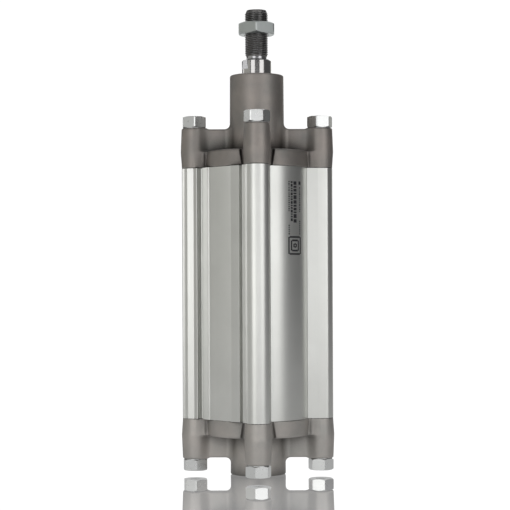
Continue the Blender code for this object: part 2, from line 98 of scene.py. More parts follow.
# The caps
CAP_HEIGHT = 34.0
PARTING = 14.0
DRAFT = 0.02
COLUMN_R = 10.4
COLUMN_BULGE = 0.95
FLANGE_R = 44.5
STRIP_HALF_WIDTH = 10.3
STRIP_REACH = 52.0
RIB_HALF_WIDTH = 6.4
RIB_REACH = 50.0
SPIGOT_DEPTH = 8
PORT_HEIGHT = 13
PORT_FACE = 46.5
PORT_BLOCK_HALF_WIDTH = 13
PORT_BLOCK_TOP = 26
SCREW_HEIGHT = 7
SCREW_FACE = 46
SCREW_BOSS_R = 6.8
SCREW_BOSS_FOOT = 30
CHAMBER_R = 20.5
CHAMBER_MOUTH_R = 24
REAR_CHAMBER_TOP = 31.5
FRONT_CHAMBER_TOP = 27.5
ROD_HOLE_R = 12.9
BUSH_HOLE_R = 15.3
BUSH_HOLE_TOP = 60.5
SEAL_POCKET_R = 18.5
SEAL_POCKET_BOTTOM = 63.5

# The nuts. A thread is its minor radius, major radius and pitch.
TIE_NUT_FLATS = 19.0
TIE_NUT_HEIGHT = 10.0
TIE_NUT_SHANK = 12
TIE_NUT_SHANK_R = 7.5
TIE_NUT_THREAD = (4.3, 5.05, 1.5)
TIE_NUT_TURNS = {"front": (-2, 12, 12, -24), "rear": (17, -15, -20, -22)}
JAM_NUT_FLATS = 30.0
JAM_NUT_TURN = 29.5
JAM_NUT_HOLE_R = 10.15
HEX_CHAMFER = radians(30.0)

# The rod
ROD_R = 12.5
STEM_R = 8
NECK_R = 8.6
SHOULDER = ROD_TOP - 42.0
NECK_TOP = SHOULDER + 3.5
FLATS_BOTTOM = SHOULDER - 8.0
HALF_ACROSS_FLATS = 11.0
FLATS_FACING = radians(72.0)
ROD_THREAD = (8.95, 9.86, 1.5)

# The printed square on the tube
SQUARE_FACING = 1.5
SQUARE_HEIGHT = 192
SQUARE_BAR = 1.5

CAMERA_AZIMUTH = radians(-45.0)


# ---------------------------------------------------------------- meshes


def make_object(name, mesh, materials, smooth_angle):
    """A smooth-shaded object, whose edges stay sharp where they turn by more than this many degrees."""
    made = bpy.data.objects.new(name, mesh)
    bpy.context.collection.objects.link(made)
    for m in materials:
        mesh.materials.append(m)
    mesh.shade_smooth()
    mesh.set_sharp_from_angle(angle=radians(smooth_angle))
    return made


def settle(made, body, slot, *nodes):
    """Says which body a piece rides on and which CAD nodes it stands for; slot, for where its finish comes
    from, is not used.
    """
    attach(made, body)
    if nodes:
        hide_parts(*nodes)
    return made


def closed_mesh(name, points, faces):
    """A mesh through points in millimetres, its faces turned outwards."""
    mesh = bpy.data.meshes.new(name)
    mesh.from_pydata([Vector(p) * MM for p in points], [], faces)
    bm = bmesh.new()
    bm.from_mesh(mesh)
    bmesh.ops.recalc_face_normals(bm, faces=bm.faces)
    bm.to_mesh(mesh)
    bm.free()
    return mesh


def shell(name, rings, materials, smooth_angle, slots=None):
    """A closed body through rings of points.

    A first and last ring of one point close its ends; otherwise the last ring joins the first. slots gives
    each band between two rings its material index.
    """
    steps = max(len(points) for points in rings)
    vertices, starts = [], []
    for points in rings:
        starts.append(len(vertices))
        vertices.extend(points)
    faces, indices = [], []
    closed = len(rings[0]) > 1
    bands = list(zip(range(len(rings)), list(range(1, len(rings))) + [0]))
    for band, (a, b) in enumerate(bands if closed else bands[:-1]):
        low, high = len(rings[a]), len(rings[b])
        for i in range(steps):
            j = (i + 1) % steps
            lower = [starts[a] + i % low, starts[a] + j % low]
            upper = [starts[b] + j % high, starts[b] + i % high]
            faces.append(list(dict.fromkeys(lower + upper)))
            indices.append(slots[band] if slots else 0)
    mesh = closed_mesh(name, vertices, faces)
    mesh.polygons.foreach_set("material_index", indices)
    return make_object(name, mesh, materials, smooth_angle)


def circle(radius, height, steps, centre=(0.0, 0.0)):
    """A ring of points. radius is one number, or a function of the angle."""
    points = []
    for i in range(steps):
        a = 2 * pi * i / steps
        r = radius(a) if callable(radius) else radius
        points.append((centre[0] + r * cos(a), centre[1] + r * sin(a), height))
    return points


def fillet_outline(points):
    """Replaces each (x, y, radius) corner with an arc; a radius of 0 leaves a point as it is."""
    made = []
    count = len(points)
    most_of_side, degrees_a_step = 0.49, 12
    for i, (x, y, radius) in enumerate(points):
        here = Vector((x, y))
        if radius <= 0:
            made.append(here)
            continue
        back = Vector(points[i - 1][:2]) - here
        ahead = Vector(points[(i + 1) % count][:2]) - here
        half = back.angle(ahead) / 2
        reach = min(radius / tan(half), most_of_side * back.length, most_of_side * ahead.length)
        radius = reach * tan(half)
        centre = here + (back.normalized() + ahead.normalized()).normalized() * radius / sin(half)
        start = here + back.normalized() * reach - centre
        sweep = start.angle_signed(here + ahead.normalized() * reach - centre)
        steps = max(2, int(degrees(abs(sweep)) / degrees_a_step))
        for k in range(steps + 1):
            made.append(centre + Matrix.Rotation(-sweep * k / steps, 2) @ start)
    return made


def extruded(name, outlines, low, high, materials, smooth_angle):
    """A prism from one outer outline and any holes. Only the first two numbers of their points count."""
    bm = bmesh.new()
    ends = []
    for height in (low, high):
        placed = [[(p[0] * MM, p[1] * MM, height * MM) for p in outline] for outline in outlines]
        ends.append([[bm.verts.new(p) for p in outline] for outline in placed])
    for bottom, top in zip(*ends):
        for i in range(len(bottom)):
            bm.faces.new((bottom[i - 1], bottom[i], top[i], top[i - 1]))
    for loops in ends:
        edges = [bm.edges.get((loop[i - 1], loop[i])) for loop in loops for i in range(len(loop))]
        bmesh.ops.triangle_fill(bm, use_beauty=True, use_dissolve=False, edges=edges)
    bmesh.ops.recalc_face_normals(bm, faces=bm.faces)
    mesh = bpy.data.meshes.new(name)
    bm.to_mesh(mesh)
    bm.free()
    return make_object(name, mesh, materials, smooth_angle)


# ---------------------------------------------------------------- cast shapes from distance fields


def join_round(a, b, radius):
    """Union of two distance fields with a fillet."""
    corner = np.hypot(np.maximum(radius - a, 0), np.maximum(radius - b, 0))
    return np.maximum(radius, np.minimum(a, b)) - corner


def meet_round(a, b, radius):
    """Intersection of two distance fields with a rounded edge."""
    corner = np.hypot(np.maximum(radius + a, 0), np.maximum(radius + b, 0))
    return np.minimum(-radius, np.maximum(a, b)) + corner


def surface_net(field, low, high, step):
    """The surface where field(x, y, z) is 0, as (points, quads), on a grid of this step."""
    axes = [np.arange(a, b + step, step) for a, b in zip(low, high)]
    values = field(*np.meshgrid(*axes, indexing="ij"))
    inside = values < 0
    shape = [n - 1 for n in values.shape]
    corner_sets = list(product((0, 1), repeat=3))
    cell_corners = [inside[i:i + shape[0], j:j + shape[1], k:k + shape[2]] for i, j, k in corner_sets]
    count = sum(corner.astype(int) for corner in cell_corners)
    cells = np.argwhere((count > 0) & (count < len(corner_sets)))
    number = np.full(shape, -1)
    number[tuple(cells.T)] = np.arange(len(cells))
    total = np.zeros((len(cells), 3))
    crossings = np.zeros(len(cells))
    # The 12 edges of a cell, each from the corner nearer the grid's start
    for a, b in product(corner_sets, repeat=2):
        if sum(b) - sum(a) != 1 or any(q < p for p, q in zip(a, b)):
            continue
        va = values[tuple((cells + a).T)]
        vb = values[tuple((cells + b).T)]
        crosses = (va < 0) != (vb < 0)
        share = np.where(crosses, va / np.where(crosses, va - vb, 1), 0)
        total += crosses[:, None] * (np.array(a) + share[:, None] * (np.array(b) - np.array(a)))
        crossings += crosses
    points = np.array(low) + (cells + total / crossings[:, None]) * step
    quads = []
    for axis in range(3):
        first, second = [(1, 2), (2, 0), (0, 1)][axis]
        ahead = np.roll(inside, -1, axis)
        edge = inside != ahead
        trim = [slice(1, -1)] * 3
        trim[axis] = slice(0, -1)
        keep = np.zeros_like(edge)
        keep[tuple(trim)] = edge[tuple(trim)]
        at = np.argwhere(keep)
        back_first, back_second = np.eye(3, dtype=int)[[first, second]]
        neighbours = [at, at - back_first, at - back_first - back_second, at - back_second]
        quad = np.stack([number[tuple(cell.T)] for cell in neighbours], axis=1)
        outward = inside[tuple(at.T)]
        quad[~outward] = quad[~outward][:, ::-1]
        quads.append(quad)
    return settle_points(field, points, step), np.concatenate(quads)


def settle_points(field, points, step):
    """Moves the net's points onto the surface itself, by no more than part of a grid step at a time."""
    small, least_slope, longest_move = 0.02, 0.5, 0.4 * step
    for _ in range(4):
        x, y, z = points.T
        value = field(x, y, z)
        slope = np.stack([
            field(x + small, y, z) - field(x - small, y, z),
            field(x, y + small, z) - field(x, y - small, z),
            field(x, y, z + small) - field(x, y, z - small),
        ], axis=1) / (2 * small)
        slope_squared = np.maximum((slope**2).sum(axis=1), least_slope**2)
        move = -slope * (value / slope_squared)[:, None]
        length = np.linalg.norm(move, axis=1, keepdims=True)
        points = points + move * np.minimum(1, longest_move / np.maximum(length, 1e-9))
    return points


def diagonal(x, y):
    """Distances along the nearest diagonal of the cap, and to its side."""
    ax, ay = np.abs(x), np.abs(y)
    return (ax + ay) / sqrt(2), np.abs(ax - ay) / sqrt(2)


def from_tie_rod(x, y):
    """Distance from the nearest tie rod's axis."""
    return np.hypot(np.abs(x) - TIE_HALF_PITCH, np.abs(y) - TIE_HALF_PITCH)


def column_radius(s):
    """A corner column swells to the parting plane and narrows again to its end."""
    rise = np.clip(s / PARTING, 0, 1)
    fall = np.clip((s - PARTING) / (CAP_HEIGHT - PARTING), 0, 1)
    return COLUMN_R + COLUMN_BULGE * rise - (COLUMN_BULGE - 0.15) * fall


def rear_boss_radius(s):
    return 22.75 + 0.012 * s


def nose_radius(s):
    return 23.1 - 0.006 * s


def flange_field(x, y, s):
    """The round flange, a strip out to each column, and between them a groove that opens outwards."""
    along, beside = diagonal(x, y)
    share = np.clip(s / PARTING, 0, 1)
    drum = meet_round(np.hypot(x, y) - FLANGE_R + 0.05 * s, s - PARTING, 1.6)
    strip = np.maximum(np.maximum(beside - STRIP_HALF_WIDTH, along - STRIP_REACH), s - PARTING)
    groove_r = 1.2 + 1.6 * share
    groove = np.hypot(along - 43.5 + 0.5 * share, beside - 11.4 - 1.2 * share) - groove_r
    return meet_round(np.minimum(drum, strip), -groove, 0.3)


def cap_field(x, y, s, boss_r, boss_top, bores):
    """A whole cap: flange, columns, ribs, boss, port block, screw boss and spigot, less its bores."""
    along, beside = diagonal(x, y)
    radial = np.hypot(x, y)
    columns = meet_round(from_tie_rod(x, y) - column_radius(s), s - CAP_HEIGHT, 1.2)
    ribs = np.maximum(beside - RIB_HALF_WIDTH + DRAFT * s, along - RIB_REACH)
    ribs = meet_round(ribs, s - CAP_HEIGHT + 0.8, 1.0)
    boss = meet_round(radial - boss_r(s), s - boss_top, 1.3)
    block = np.maximum(np.abs(y) - PORT_BLOCK_HALF_WIDTH + DRAFT * s, -x - PORT_FACE)
    block = meet_round(np.maximum(block, x), s - PORT_BLOCK_TOP, 1.5)
    raised = join_round(ribs, boss, 4.8)
    raised = join_round(raised, columns, 3.4)
    raised = join_round(raised, block, 2.5)
    body = join_round(flange_field(x, y, s), raised, 1.3)
    screw_boss = meet_round(np.hypot(x, s - SCREW_HEIGHT) - SCREW_BOSS_R, y - SCREW_FACE, 0.8)
    body = join_round(body, np.maximum(screw_boss, SCREW_BOSS_FOOT - y), 1.0)
    body = np.maximum(body, -s)
    spigot = meet_round(radial - BORE_R + 0.4, -s - SPIGOT_DEPTH, 0.8)
    body = np.minimum(body, np.maximum(spigot, s - 1))
    return meet_round(body, -bores(x, y, s), 0.5)


def tie_bores(x, y, s):
    """Through holes for the tie rods, widened at the column's end for the nuts' shanks."""
    out = from_tie_rod(x, y)
    shank = np.maximum(out - TIE_NUT_SHANK_R - 0.3, CAP_HEIGHT - TIE_NUT_SHANK - 0.5 - s)
    return np.minimum(out - TIE_HOLE_R, shank)


def side_bores(x, y, s):
    """The air port on -X and the cushion screw's hole on +Y, each with a narrower way in to the chamber."""
    port_r, port_bottom, port_way_r = 7.7, 32.5, 3.5
    screw_r, screw_bottom, screw_way_r = 4.6, 28.6, 2.1
    port = np.hypot(y, s - PORT_HEIGHT)
    port = np.minimum(np.maximum(port - port_r, x + port_bottom), np.maximum(port - port_way_r, x))
    screw = np.hypot(x, s - SCREW_HEIGHT)
    screw = np.minimum(np.maximum(screw - screw_r, screw_bottom - y), np.maximum(screw - screw_way_r, -y))
    return np.minimum(port, screw)


def cap_bores(x, y, s, chamber_top):
    """What both caps have: the cushion chamber with its wider mouth, and the tie, port and screw bores."""
    radial = np.hypot(x, y)
    chamber = np.maximum(radial - CHAMBER_R, s - chamber_top)
    mouth = np.maximum(radial - CHAMBER_MOUTH_R, s + 1)
    return np.minimum(np.minimum(chamber, mouth), np.minimum(tie_bores(x, y, s), side_bores(x, y, s)))


def rear_bores(x, y, s):
    return cap_bores(x, y, s, REAR_CHAMBER_TOP)


def front_bores(x, y, s):
    """The front cap's bores, with the rod's hole, the bush's seat and the seal's pocket in the nose."""
    radial = np.hypot(x, y)
    guide = np.minimum(np.maximum(radial - BUSH_HOLE_R, s - BUSH_HOLE_TOP), radial - ROD_HOLE_R)
    guide = np.minimum(guide, np.maximum(radial - SEAL_POCKET_R, SEAL_POCKET_BOTTOM - s))
    return np.minimum(cap_bores(x, y, s, FRONT_CHAMBER_TOP), guide)


def make_cap(name, joint, outward, boss_r, boss_top, bores, finish):
    """A cap's casting. Its heights go outwards from the joint: outward is 1 in front, -1 behind."""
    step = 0.83
    half_width = 52.3
    casting = name + "_casting"

    def field(x, y, z):
        return cap_field(x, y, (z - joint) * outward, boss_r, boss_top, bores)

    low, high = sorted((joint - outward * (SPIGOT_DEPTH + 2), joint + outward * (boss_top + 2)))
    points, quads = surface_net(field, (-half_width, -half_width, low), (half_width, half_width, high), step)
    mesh = bpy.data.meshes.new(casting)
    mesh.from_pydata(points * MM, [], quads.tolist())
    return settle(make_object(casting, mesh, [finish], 55.0), "housing", "cast_aluminium", name)


# ---------------------------------------------------------------- the tube


def arc(centre, radius, angles):
    """Outline points on an arc, at these angles in degrees."""
    return [(centre[0] + radius * cos(radians(a)), centre[1] + radius * sin(radians(a)), 0) for a in angles]


def lobe(first_flank, last_flank):
    """One corner lobe as (outward, sideways, fillet) points, counterclockwise."""
    shoulder = arc(LOBE_SHOULDER_CENTRE, LOBE_SHOULDER_R, range(56, 81, 6))
    tip = arc((LOBE_TIP_CENTRE, 0), LOBE_TIP_R, range(-50, 51, 5))
    mirrored = [(x, -y, r) for x, y, r in reversed(shoulder)]
    return first_flank + mirrored + tip + shoulder + last_flank


def turn(points, angle):
    """Outline points turned about the axis."""
    return [(x * cos(angle) - y * sin(angle), x * sin(angle) + y * cos(angle), r) for x, y, r in points]


def smooth_flank(side):
    """A lobe's side towards a smooth wall, from the wall outwards."""
    root = sqrt(BARREL_R**2 - LOBE_HALF_WIDTH**2)
    return [(root, side * LOBE_HALF_WIDTH, 1.6), (50.8, side * LOBE_HALF_WIDTH, 1.2)]


def smooth_wall():
    """The round wall about +X, between two lobes."""
    edge = pi / 4 - asin(LOBE_HALF_WIDTH / BARREL_R)
    steps = 40
    return arc((0, 0), BARREL_R, [degrees(edge * (2 * i / steps - 1)) for i in range(1, steps)])


def slotted_side():
    """The side with two sensor slots, about +X: a sunk panel between two rails, each with a T-shaped slot."""
    face, panel, floor = 44.6, 43.6, 38.6
    half = [(panel, 12.9, 0.4), (face, 13.3, 0.4), (face - 1.6, 22.1, 0.3)]
    half += [(face - 2.0, 21.4, 0.2), (floor + 0.2, 21.4, 1.2), (floor + 0.2, 27.6, 1.2)]
    half += [(face - 1.9, 27.6, 0.3), (face - 1.5, 26.9, 0.2), (face, 27.05, 0.5), (face, 30.85, 1.0)]
    return [(x, -y, r) for x, y, r in reversed(half)] + half


def barrel_outline():
    flank_before, flank_after = smooth_flank(-1), smooth_flank(1)[::-1]
    points = turn(lobe([], flank_after), -pi / 4) + smooth_wall()
    points += turn(lobe(flank_before, []), pi / 4) + turn(slotted_side(), pi / 2)
    points += turn(lobe([], flank_after), 3 * pi / 4) + turn(smooth_wall(), pi)
    points += turn(lobe(flank_before, []), 5 * pi / 4) + turn(slotted_side(), 3 * pi / 2)
    return fillet_outline(points)


def make_barrel(finish):
    outlines = [barrel_outline(), circle(BORE_R, 0, 96)]
    outlines += [circle(TIE_HOLE_R, 0, 32, (x * TIE_HALF_PITCH, y * TIE_HALF_PITCH)) for x, y in CORNERS]
    made = extruded("tube_extrusion", outlines, REAR_JOINT + TUBE_GAP, FRONT_JOINT - TUBE_GAP, [finish], 24.0)
    return settle(made, "housing", "tube_aluminium", "barrel")


# ---------------------------------------------------------------- nuts and rod


def thread_shape(turns):
    """Share of the thread's depth at this many turns along it: 1 on the crest, 0 in the root."""
    crest_edge, root_edge = 1 / 16, 3 / 8
    t = turns % 1.0
    distance = min(t, 1 - t)
    return min(1.0, max(0.0, (root_edge - distance) / (root_edge - crest_edge)))


def threaded_rings(low, high, thread, steps, rows, centre=(0.0, 0.0), inward=False):
    """Rings up a right-hand thread, this many to a turn. It fades out over its last turn at each end."""
    minor, major, pitch = thread
    rings = []
    count = int((high - low) / pitch * rows)
    for k in range(count + 1):
        height = low + (high - low) * k / count
        strength = min(1.0, (height - low) / pitch + 0.05, (high - height) / pitch + 0.05)

        def radius(a, height=height, strength=strength):
            depth = (major - minor) * thread_shape(height / pitch - a / (2 * pi)) * strength
            return major - depth if inward else minor + depth

        rings.append(circle(radius, height, steps, centre))
    return rings


def hex_radius(across_flats, facing):
    """A hexagon's radius by angle, its corners rounded off."""
    corner = 0.5
    apothem = across_flats / 2
    inner = apothem - corner
    reach = inner / cos(pi / 6)

    def radius(a):
        off_flat = abs((a - facing + pi / 6) % (pi / 3) - pi / 6)
        off_corner = pi / 6 - off_flat
        if apothem * tan(off_flat) > inner * tan(pi / 6):
            return reach * cos(off_corner) + sqrt(max(corner**2 - (reach * sin(off_corner))**2, 0))
        return apothem / cos(off_flat)

    return radius


def hex_rings(across_flats, turned, low, high, face_r, steps, centre):
    """Rings up the outside of a hexagon whose two ends are chamfered from the radius face_r.

    turned is how far a flat is turned from facing the camera, in degrees.
    """
    shape = hex_radius(across_flats, CAMERA_AZIMUTH + radians(turned))
    rings = [circle(face_r, low, steps, centre)]
    for end, inward in ((low, 1), (high, -1)):
        ring = []
        for x, y, _ in circle(shape, end, steps):
            drop = max(0.0, hypot(x, y) - face_r) * tan(HEX_CHAMFER)
            ring.append((centre[0] + x, centre[1] + y, end + inward * drop))
        rings.append(ring)
    rings.append(circle(face_r, high, steps, centre))
    return rings


def make_tie_nut(end, index, base, outward, rod_end, finish):
    """The hexagon stands on the column; the shank and the thread above the tie rod are inside."""
    steps = 96
    centre = tuple(side * TIE_HALF_PITCH for side in CORNERS[index])
    socket = abs(rod_end - base)
    hole_r, collar_r, face_r = 5.3, 9.3, 9.35
    mouth_r, mouth_depth = 5.5, 0.6

    def ring(radius, height):
        return circle(radius, height, steps, centre)

    rings = [ring(hole_r, -TIE_NUT_SHANK), ring(TIE_NUT_SHANK_R - 0.4, -TIE_NUT_SHANK)]
    rings += [ring(TIE_NUT_SHANK_R, 0.4 - TIE_NUT_SHANK), ring(TIE_NUT_SHANK_R, 0.1), ring(collar_r, 0.1)]
    rings += hex_rings(TIE_NUT_FLATS, TIE_NUT_TURNS[end][index], 0.35, TIE_NUT_HEIGHT, face_r, steps, centre)
    rings += [ring(mouth_r, TIE_NUT_HEIGHT), ring(5.0, TIE_NUT_HEIGHT - mouth_depth)]
    thread = threaded_rings(0.3 - socket, TIE_NUT_HEIGHT - 0.9, TIE_NUT_THREAD, steps, 6, centre, inward=True)
    rings += thread[::-1] + [ring(hole_r, -socket)]
    placed = [[(x, y, base + outward * z) for x, y, z in points] for points in rings]
    name = f"{end}_tie_rod_nut_{index + 1}"
    made = shell(name + "_plated", placed, [finish], 28.0)
    return settle(made, "housing", "zinc_steel", name)


def make_jam_nut(finish):
    """A plain hexagon nut, its hole countersunk at both ends."""
    steps = 144
    low, high = JAM_NUT_LOW, JAM_NUT_HIGH
    depth, outer_r, face_r = 0.8, JAM_NUT_HOLE_R + 0.75, 14.3
    rings = [circle(JAM_NUT_HOLE_R, low + depth, steps), circle(outer_r, low, steps)]
    rings += hex_rings(JAM_NUT_FLATS, JAM_NUT_TURN, low, high, face_r, steps, (0.0, 0.0))
    rings += [circle(outer_r, high, steps), circle(JAM_NUT_HOLE_R, high - depth, steps)]
    made = shell("jam_nut_plated", rings, [finish], 28.0)
    return settle(made, "rod_end_nut", "zinc_steel", "rod_end_nut")


def flat_radius(a):
    """The rod's radius where its two wrench flats are."""
    return min(ROD_R, HALF_ACROSS_FLATS / max(1e-6, abs(cos(a - FLATS_FACING))))


def shoulder_radius(a):
    return min(flat_radius(a), ROD_R - 0.9)


def make_rod(chrome, thread_finish, machined):
    """From the stem in the piston up: ground rod, wrench flats, neck and thread."""
    steps = 144
    on_chrome, on_thread, on_machined = range(3)
    flats_top = SHOULDER - 0.9
    thread_top = ROD_TOP - 1.5

    def ring(radius, height):
        return circle(radius, height, steps)

    body = [[(0, 0, ROD_BOTTOM)], ring(STEM_R - 1, ROD_BOTTOM), ring(STEM_R, ROD_BOTTOM + 1)]
    body += [ring(STEM_R, PISTON_TOP), ring(ROD_R - 0.4, PISTON_TOP), ring(ROD_R, PISTON_TOP + 0.4)]
    ground = len(body) - 1
    body += [ring(ROD_R, FLATS_BOTTOM)]
    milled = len(body) - 1
    body += [ring(flat_radius, FLATS_BOTTOM + 0.02), ring(flat_radius, flats_top)]
    body += [ring(shoulder_radius, SHOULDER), ring(NECK_R + 0.8, SHOULDER)]
    body += [ring(NECK_R, SHOULDER + 0.8), ring(NECK_R, NECK_TOP - 0.6)]
    cut = len(body) - 1
    body += threaded_rings(NECK_TOP, thread_top, ROD_THREAD, steps, 10)
    body += [ring(8.8, thread_top + 0.15), ring(8.3, ROD_TOP), [(0, 0, ROD_TOP)]]
    slots = [on_machined] * ground + [on_chrome] * (milled - ground)
    slots += [on_machined] * (cut - milled) + [on_thread] * (len(body) - cut)
    made = shell("chromed_rod", body, [chrome, thread_finish, machined], 32.0, slots)
    for face in made.data.polygons:
        x, y, z = face.center / MM
        if FLATS_BOTTOM < z < flats_top and hypot(x, y) > ROD_R - 0.05:
            face.material_index = on_chrome
    return settle(made, "rod", "hard_chrome", "piston_rod")


# ---------------------------------------------------------------- printed marks on the tube


def mark(points, faces, start, end, low, high):
    """One printed bar on the smooth +X side: a thin plate between two angles in degrees and two heights."""
    inner, outer = BARREL_R - 0.04, BARREL_R + 0.03
    longest_step = 1.49
    steps = int((end - start) / longest_step) + 1
    first = len(points)
    for i in range(steps + 1):
        a = radians(start + (end - start) * i / steps)
        for radius, height in ((inner, low), (outer, low), (outer, high), (inner, high)):
            points.append((radius * cos(a), radius * sin(a), height))
    for i in range(steps):
        at = first + 4 * i
        for k in range(4):
            m = (k + 1) % 4
            faces.append((at + k, at + m, at + 4 + m, at + 4 + k))
    last = first + 4 * steps
    faces.append((first + 3, first + 2, first + 1, first))
    faces.append((last, last + 1, last + 2, last + 3))


def dashes(points, faces, centre, width, low, high, lengths, gap=0.7):
    """A column of short bars that stands in for a line of print."""
    height, i = high, 0
    while height - lengths[i % len(lengths)] > low:
        length = lengths[i % len(lengths)]
        mark(points, faces, centre - width / 2, centre + width / 2, height - length, height)
        height -= length + gap
        i += 1


def square_outline(points, faces, reach):
    """Four bars round a square, whose middles are this far from the square's."""
    def across(length):
        return degrees(length / BARREL_R)

    half_bar = SQUARE_BAR / 2
    outside, inside = across(half_bar), across(reach - half_bar - 0.02)
    middle = SQUARE_FACING
    for side in (-1, 1):
        facing = middle + across(side * reach)
        height = SQUARE_HEIGHT + side * reach
        mark(points, faces, facing - outside, facing + outside, SQUARE_HEIGHT - reach, SQUARE_HEIGHT + reach)
        mark(points, faces, middle - inside, middle + inside, height - half_bar, height + half_bar)


def make_print(finish):
    points, faces = [], []
    dashes(points, faces, 9.8, 1.9, 219, 240.5, (1.3, 0.8, 1.0, 1.6, 0.7))
    dashes(points, faces, 9.8, 1.9, 200, 212.5, (1.1, 0.9))
    dashes(points, faces, 1.6, 5.0, 210, 245, (2.9, 1.7, 2.3, 1.3, 3.4), 0.8)
    dashes(points, faces, -3.6, 3.0, 212, 245, (1.5, 2.4, 1.1))
    dashes(points, faces, -7.4, 1.9, 219, 245, (1.0, 1.3, 0.7))
    dashes(points, faces, -7.4, 1.9, 200, 209, (1.2, 0.8))
    mark(points, faces, 7.8, 11.6, 242.2, 245.2)
    for reach in (1.4, 4.2, 7.0):
        square_outline(points, faces, reach)
    made = make_object("printed_marks", closed_mesh("printed_marks", points, faces), [finish], 30.0)
    return settle(made, "housing", "black_rubber")


# ---------------------------------------------------------------- materials


def node(tree, kind, **values):
    """A new shader node with these properties."""
    made = tree.nodes.new(kind)
    for key, value in values.items():
        setattr(made, key, value)
    return made


def noise(tree, coordinates, scale, stretch=(1, 1, 1), roughness=0.55):
    """Noise of this many cells a metre, stretched along each axis; returns its 0 to 1 value."""
    mapping = node(tree, "ShaderNodeMapping")
    mapping.inputs["Scale"].default_value = stretch
    tree.links.new(coordinates, mapping.inputs["Vector"])
    made = node(tree, "ShaderNodeTexNoise")
    made.inputs["Scale"].default_value = scale
    made.inputs["Detail"].default_value = 4.0
    made.inputs["Roughness"].default_value = roughness
    tree.links.new(mapping.outputs["Vector"], made.inputs["Vector"])
    return made.outputs["Fac"]


def spread(tree, value, low, high, start=0.3, end=0.7):
    """Maps a texture's value onto the range low to high."""
    made = node(tree, "ShaderNodeMapRange")
    made.inputs["From Min"].default_value = start
    made.inputs["From Max"].default_value = end
    made.inputs["To Min"].default_value = low
    made.inputs["To Max"].default_value = high
    tree.links.new(value, made.inputs["Value"])
    return made.outputs["Result"]


def blend_colours(tree, factor, first, second):
    """Mixes two colours by a factor. Each of the three is a fixed value or another node's output."""
    made = node(tree, "ShaderNodeMix", data_type="RGBA")
    if hasattr(factor, "links"):
        tree.links.new(factor, made.inputs[0])
    else:
        made.inputs[0].default_value = factor
    for socket, colour in ((6, first), (7, second)):
        if hasattr(colour, "links"):
            tree.links.new(colour, made.inputs[socket])
        else:
            made.inputs[socket].default_value = (*colour, 1)
    return made.outputs[2]


def surface(
    name, dark, light, rough, bump, metallic=1.0, patch=30.0, grain=900.0,
    stretch=(1, 1, 1), wear=None, painted_shade=0.0,
):
    """A finish whose colour varies in patches, with grain in its roughness and relief.

    patch and grain are cells a metre, bump the relief's depth in millimetres, wear the colour of rubbed
    edges, and the last argument how far painted shade darkens the hollows.
    """
    made = bpy.data.materials.new(name)
    made.use_nodes = True
    tree = made.node_tree
    shader = tree.nodes["Principled BSDF"]
    shader.inputs["Metallic"].default_value = metallic
    where = node(tree, "ShaderNodeTexCoord").outputs["Object"]
    patches = spread(tree, noise(tree, where, patch), 0, 1)
    fine = noise(tree, where, grain, stretch, roughness=0.65)
    colour = blend_colours(tree, patches, dark, light)
    if wear:
        edges = spread(tree, node(tree, "ShaderNodeNewGeometry").outputs["Pointiness"], 0, 1, 0.52, 0.6)
        colour = blend_colours(tree, edges, colour, wear)
    # Painted shade: ambient occlusion darkens the colour in hollows and crevices, where shade falls.
    if painted_shade:
        hollow = node(tree, "ShaderNodeAmbientOcclusion", samples=8)
        hollow.inputs["Distance"].default_value = 15 * MM
        open_share = spread(tree, hollow.outputs["AO"], 0, 1, 0.55, 0.93)
        painted_shade_colour = blend_colours(tree, 1 - painted_shade, (0, 0, 0), colour)
        colour = blend_colours(tree, open_share, painted_shade_colour, colour)
    tree.links.new(colour, shader.inputs["Base Color"])
    tree.links.new(spread(tree, fine, rough[0], rough[1]), shader.inputs["Roughness"])
    relief = node(tree, "ShaderNodeBump")
    relief.inputs["Strength"].default_value = 0.5
    relief.inputs["Distance"].default_value = bump * MM
    tree.links.new(fine, relief.inputs["Height"])
    tree.links.new(relief.outputs["Normal"], shader.inputs["Normal"])
    return made


